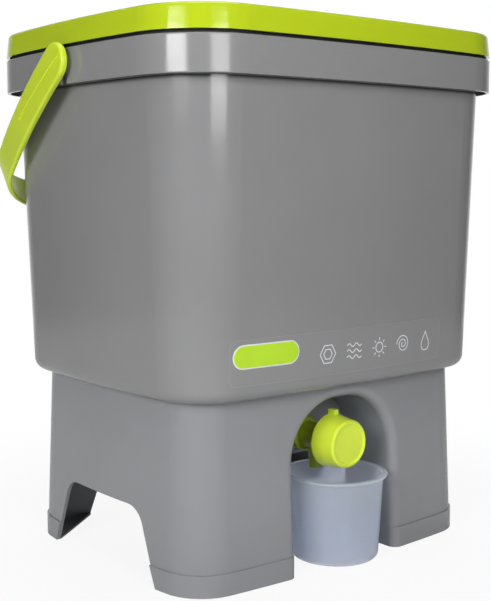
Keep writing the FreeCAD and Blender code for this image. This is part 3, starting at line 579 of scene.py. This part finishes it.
mark_vertices = []
mark_faces = []
for k, lines in enumerate(MARKS):
    for points, closed in lines:
        centre = MARK_FIRST + k * MARK_PITCH
        placed = [(centre + MARK_SIZE * x, MARK_Z + MARK_SIZE * z) for x, z in points]
        ribbon(mark_vertices, mark_faces, placed, closed)
add_piece("front_marks", mark_vertices, mark_faces, print_white)

# Thin bright edge of the label's film
film_rim = bar_stations(FILM_X, FILM_Z, FILM_CORNER, EDGE_LINE / 2)
film_middle = (FILM_Z[0] + FILM_Z[1]) / 2
film_line = [(x, film_middle + half) for x, half in film_rim]
film_line += [(x, film_middle - half) for x, half in reversed(film_rim)]
edge_vertices = []
edge_faces = []
ribbon(edge_vertices, edge_faces, film_line, True, EDGE_LINE)
add_piece("label_edge", edge_vertices, edge_faces, film_edge)

# Painted highlight along each arm of the strap: a thin ribbon of lighter lime on the crest of its rib
hinge = next(j for j in frame["joints"] if j["name"] == "handle_swing")
pivot = Vector(hinge["pos_m"])
hang = math.radians(STRAP_HANG)


def on_strap(side):
    """Function that lays a point on the strap's outer face, on that side, from its place on the strap."""
    def lay(along, across, height):
        """Point over the strap at that height above its skin."""
        y = pivot.y + along * math.cos(hang) + across * math.sin(hang)
        z = pivot.z - along * math.sin(hang) + across * math.cos(hang)
        spot, normal, _, _ = strap_skin.ray_cast(Vector((side, y, z)), Vector((-side, 0, 0)))
        return spot + normal * height
    return lay


crease_line = []
for k in range(CREASE_STEPS + 1):
    share = k / CREASE_STEPS
    crease_line.append((CREASE_ALONG[0] + share * (CREASE_ALONG[1] - CREASE_ALONG[0]),
                        CREASE_ACROSS[0] + share * (CREASE_ACROSS[1] - CREASE_ACROSS[0])))
crease_vertices = []
crease_faces = []
for side in (-1, 1):
    ribbon(crease_vertices, crease_faces, crease_line, False, CREASE_WIDTH, on_strap(side), CREASE_HEIGHT)
add_piece("strap_crease_highlight", crease_vertices, crease_faces, crease_highlight_lime, "handle")


def quarter(centre, radius, start):
    """Points round a quarter circle from that angle, anticlockwise, or clockwise for a negative radius."""
    sense = 1 if radius > 0 else -1
    turns = [math.radians(start + sense * 90 * k / QUARTER_STEPS) for k in range(QUARTER_STEPS + 1)]
    return [(centre[0] + abs(radius) * math.cos(t), centre[1] + abs(radius) * math.sin(t)) for t in turns]


def run(start, end, steps):
    """Points from start to end, both left out."""
    return [(start[0] + (end[0] - start[0]) * k / steps, start[1] + (end[1] - start[1]) * k / steps)
            for k in range(1, steps)]


def cup_profile(lip_radius, height):
    """The cup from its foot's middle, up outside, over the lip and down inside, as radius and height."""
    lean = (CUP_TOP_RADIUS - CUP_BOTTOM_RADIUS) / height
    under_lip = height - CUP_LIP

    def wall(z, inset=0.0):
        """Point of the leaning wall at that height, that far in from its outside."""
        return (CUP_BOTTOM_RADIUS + lean * z - inset, z)

    foot = [(FOOT_RADIUS * k / FOOT_ROWS, FOOT_RECESS) for k in range(1, FOOT_ROWS)]
    foot += quarter((FOOT_RADIUS - FOOT_CORNER, FOOT_RECESS - FOOT_CORNER), -FOOT_CORNER, 90)
    foot += quarter((FOOT_RADIUS + FOOT_CORNER, FOOT_CORNER), FOOT_CORNER, 180)
    bend = (wall(CUP_ROUND)[0] - CUP_ROUND, CUP_ROUND)
    outside = quarter(bend, CUP_ROUND, -90) + run(wall(CUP_ROUND), wall(under_lip), CUP_ROWS)
    lip = quarter((wall(under_lip)[0] + LIP_CORNER, under_lip - LIP_CORNER), -LIP_CORNER, 180)
    lip += quarter((lip_radius - LIP_ROUND, under_lip + LIP_ROUND), LIP_ROUND, -90)
    lip += quarter((lip_radius - LIP_ROUND, height - LIP_ROUND), LIP_ROUND, 0)
    lip += quarter((wall(height, CUP_WALL)[0] + LIP_CORNER, height - LIP_CORNER), LIP_CORNER, 90)
    inner_round = CUP_ROUND - CUP_WALL
    low = CUP_FLOOR + inner_round
    inside = run(wall(height - LIP_CORNER, CUP_WALL), wall(low, CUP_WALL), CUP_ROWS)
    inside += quarter((wall(low, CUP_WALL)[0] - inner_round, low), -inner_round, 0)
    inside += [(wall(low, CUP_WALL)[0] * k / FLOOR_ROWS, CUP_FLOOR) for k in range(FLOOR_FIRST, 0, -1)]
    return foot + outside + lip + inside


def turned_cup():
    """The cup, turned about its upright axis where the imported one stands."""
    low, high = (Vector(c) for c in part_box("collection_cup"))
    middle = (low + high) / 2
    rows = cup_profile((high.x - low.x) / 2, high.z - low.z)
    ring = circle(1.0, CUP_TURNS)
    vertices = [(middle.x, middle.y, low.z + FOOT_RECESS)]
    for radius, z in rows:
        vertices += [(middle.x + radius * x, middle.y + radius * y, low.z + z) for x, y in ring]
    top = len(vertices)
    vertices.append((middle.x, middle.y, low.z + CUP_FLOOR))
    last = top - CUP_TURNS
    faces = []
    for k in range(CUP_TURNS):
        after = (k + 1) % CUP_TURNS
        faces.append((0, 1 + after, 1 + k))
        faces.append((top, last + k, last + after))
        for j in range(len(rows) - 1):
            a = 1 + j * CUP_TURNS
            faces.append((a + k, a + after, a + CUP_TURNS + after, a + CUP_TURNS + k))
    piece = add_piece("milky_cup", vertices, faces, milk, "cup")
    piece.data.shade_smooth()
    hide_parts("collection_cup")


turned_cup()


def screw_profile(length):
    """A pan-head screw from the middle of its head to its tip, as pairs of radius and height."""
    rows = []
    for k in range(1, HEAD_ROWS + 1):
        share = math.sin(math.pi / 2 * k / HEAD_ROWS)
        rise = 1 - (1 - share ** HEAD_POWER) ** (1 / HEAD_POWER)
        rows.append((SCREW_HEAD_RADIUS * share, SCREW_HEAD * rise))
    count = int((length - SCREW_HEAD) / SCREW_PITCH * THREAD_ROWS)
    for k in range(count + 1):
        rows.append((SCREW_CORE, SCREW_HEAD + (length - SCREW_HEAD) * k / count))
    return rows


def screw_point(radius, z, turn, length):
    """That profile point at that turn, sunk in the head's cross recess or raised by the thread."""
    in_head = (z <= SCREW_HEAD and radius > SCREW_CORE) or radius < SCREW_CORE
    if in_head:
        across = min(abs(radius * math.cos(turn)), abs(radius * math.sin(turn)))
        wall = min(max((RECESS_HALF - across) / RECESS_WALL, 0), 1)
        end = min(max((RECESS_REACH - radius) / RECESS_REACH * RECESS_SLOPE, 0), 1)
        z += RECESS_DEPTH * wall * end
    else:
        phase = (z / SCREW_PITCH - turn / (2 * math.pi)) % 1
        radius += (SCREW_CREST - SCREW_CORE) * max(0, 1 - abs(phase - 0.5) / THREAD_HALF)
        radius *= min(1, max(TIP_LEFT, (length - z) / SCREW_TIP))
    return Vector((radius * math.cos(turn), radius * math.sin(turn), z))


def screws():
    """The four screws in one mesh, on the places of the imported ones."""
    low, high = (Vector(c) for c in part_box("stand_screws"))
    length = high.z - low.z
    rows = screw_profile(length)
    off_x = high.x - SCREW_HEAD_RADIUS
    off_y = high.y - SCREW_HEAD_RADIUS
    vertices = []
    faces = []
    for sign_x in (-1, 1):
        for sign_y in (-1, 1):
            place = Vector((sign_x * off_x, sign_y * off_y, low.z))
            first = len(vertices)
            vertices.append(place + Vector((0, 0, RECESS_DEPTH)))
            for radius, z in rows:
                for k in range(SCREW_STEPS):
                    turn = 2 * math.pi * k / SCREW_STEPS
                    vertices.append(place + screw_point(radius, z, turn, length))
            for k in range(SCREW_STEPS):
                after = (k + 1) % SCREW_STEPS
                faces.append((first, first + 1 + after, first + 1 + k))
                for j in range(len(rows) - 1):
                    a = first + 1 + j * SCREW_STEPS
                    faces.append((a + k, a + after, a + SCREW_STEPS + after, a + SCREW_STEPS + k))
            last = first + 1 + (len(rows) - 1) * SCREW_STEPS
            faces.append(tuple(last + k for k in range(SCREW_STEPS)))
    piece = add_piece("cross_screws", vertices, faces, zinc)
    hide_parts("stand_screws")


screws()

# Camera at the photograph's viewing angle
yaw = math.radians(YAW)
pitch = math.radians(PITCH)
roll = math.radians(ROLL)
forward = Vector((-math.sin(yaw) * math.cos(pitch), math.cos(yaw) * math.cos(pitch), math.sin(pitch)))
level = Vector((math.cos(yaw), math.sin(yaw), 0))
upward = level.cross(forward)
right = math.cos(roll) * level + math.sin(roll) * upward
up = math.cos(roll) * upward - math.sin(roll) * level
lens = bpy.data.cameras.new("camera")
lens.sensor_width = SENSOR
lens.lens = FOCAL_PIXELS / PICTURE_HEIGHT * SENSOR
lens.shift_x = (PICTURE_WIDTH / 2 - AXIS_X) / PICTURE_HEIGHT
lens.shift_y = (AXIS_Y - PICTURE_HEIGHT / 2) / PICTURE_HEIGHT
lens.clip_start = CLIP_START
camera = bpy.data.objects.new("camera", lens)
facing = Matrix((right, up, -forward)).transposed().to_4x4()
camera.matrix_world = Matrix.Translation(EYE) @ facing
bpy.context.scene.collection.objects.link(camera)
bpy.context.scene.camera = camera


def area_lamp(name, size, watts, place, turns, mirrored=True):
    """Rectangular lamp that the camera doesn't see, and reflections only where it is mirrored."""
    lamp = bpy.data.lights.new(name, "AREA")
    lamp.shape = "RECTANGLE"
    lamp.size = size[0]
    lamp.size_y = size[1]
    lamp.energy = watts
    holder = bpy.data.objects.new(name, lamp)
    holder.location = place
    holder.rotation_euler = turns
    holder.visible_camera = False
    holder.visible_glossy = mirrored
    bpy.context.scene.collection.objects.link(holder)


def softbox(name, box, span, watts, mirrored=True):
    """Upright softbox that faces the bin's near corner from its azimuth, as wide as its angle each way."""
    turn = math.radians(box["azimuth"])
    distance = box["distance"]
    bottom, top = span
    x = NEAR_CORNER[0] + distance * math.cos(turn)
    y = NEAR_CORNER[1] + distance * math.sin(turn)
    width = 2 * distance * math.tan(math.radians(box["half_angle"]))
    upright = (math.radians(90), 0, turn + math.radians(90))
    area_lamp(name, (width, top - bottom), watts, (x, y, (bottom + top) / 2), upright, mirrored)


# Two upright softboxes beside the camera, a fill above each, one lamp overhead and a fill behind
softbox("left_softbox", LEFT_BOX, LEFT_SPAN, LEFT_WATTS)
softbox("left_fill", LEFT_BOX, LEFT_FILL_SPAN, LEFT_FILL_WATTS, mirrored=False)
softbox("right_softbox", RIGHT_BOX, RIGHT_SPAN, RIGHT_WATTS)
softbox("right_fill", RIGHT_BOX, RIGHT_FILL_SPAN, RIGHT_FILL_WATTS, mirrored=False)
area_lamp("overhead", OVER_SIZE, OVER_WATTS, OVER_PLACE, (0, 0, 0))
softbox("back_softbox", BACK_BOX, BACK_SPAN, BACK_WATTS, mirrored=False)


def seen_directly(tree, path):
    """One for rays from the camera, straight or through something clear."""
    return calculate(tree, "MAXIMUM", path.outputs["Is Camera Ray"], path.outputs["Is Transmission Ray"])


def white_world():
    """White surroundings that light the bin a little, and show white where they are seen."""
    world = bpy.data.worlds.new("studio")
    bpy.context.scene.world = world
    world.use_nodes = True
    tree = world.node_tree
    path = tree.nodes.new("ShaderNodeLightPath")
    seen = seen_directly(tree, path)

    # Glossy rays see the white backdrop behind the bin, and the dim room in front of it
    where = tree.nodes.new("ShaderNodeTexCoord")
    behind = tree.nodes.new("ShaderNodeVectorMath")
    behind.operation = "DOT_PRODUCT"
    behind.inputs[1].default_value = (forward.x, forward.y, 0)
    tree.links.new(where.outputs["Generated"], behind.inputs[0])
    backdrop = stretched(tree, behind.outputs["Value"], BACKDROP_EDGE, (ROOM, 1.0), smooth=True)
    mirrored = calculate(tree, "MULTIPLY", path.outputs["Is Glossy Ray"], backdrop)
    strength = calculate(tree, "MAXIMUM", calculate(tree, "MAXIMUM", seen, mirrored), AMBIENT)
    tree.links.new(strength, tree.nodes["Background"].inputs["Strength"])
    tree.nodes["Background"].inputs["Color"].default_value = (1, 1, 1, 1)


def paper():
    """Matt white that glows for the camera, so that it fades into the surroundings and keeps some shade."""
    material = bpy.data.materials.new("paper")
    material.use_nodes = True
    tree = material.node_tree
    tree.nodes.remove(tree.nodes["Principled BSDF"])
    matt = tree.nodes.new("ShaderNodeBsdfDiffuse")
    matt.inputs["Color"].default_value = (FLOOR_GREY, FLOOR_GREY, FLOOR_GREY, 1)
    glow = tree.nodes.new("ShaderNodeEmission")
    path = tree.nodes.new("ShaderNodeLightPath")
    where = tree.nodes.new("ShaderNodeTexCoord")
    far = tree.nodes.new("ShaderNodeVectorMath")
    far.operation = "LENGTH"
    tree.links.new(where.outputs["Object"], far.inputs[0])
    fade = stretched(tree, far.outputs["Value"], FLOOR_FADE, (FLOOR_WHITE, 1.0), smooth=True)
    mix = tree.nodes.new("ShaderNodeMixShader")
    tree.links.new(calculate(tree, "MULTIPLY", seen_directly(tree, path), fade), mix.inputs["Fac"])
    tree.links.new(matt.outputs["BSDF"], mix.inputs[1])
    tree.links.new(glow.outputs["Emission"], mix.inputs[2])
    tree.links.new(mix.outputs["Shader"], tree.nodes["Material Output"].inputs["Surface"])
    return material


white_world()

# Round pale floor
rim = [(FLOOR_REACH * x, FLOOR_REACH * y, 0) for x, y in circle(1.0, FLOOR_SIDES)]
floor_mesh = bpy.data.meshes.new("floor")
floor_mesh.from_pydata(rim, [], [tuple(range(len(rim)))])
floor_mesh.materials.append(paper())
floor = bpy.data.objects.new("floor", floor_mesh)
bpy.context.scene.collection.objects.link(floor)

bpy.context.scene.view_settings.view_transform = "Standard"
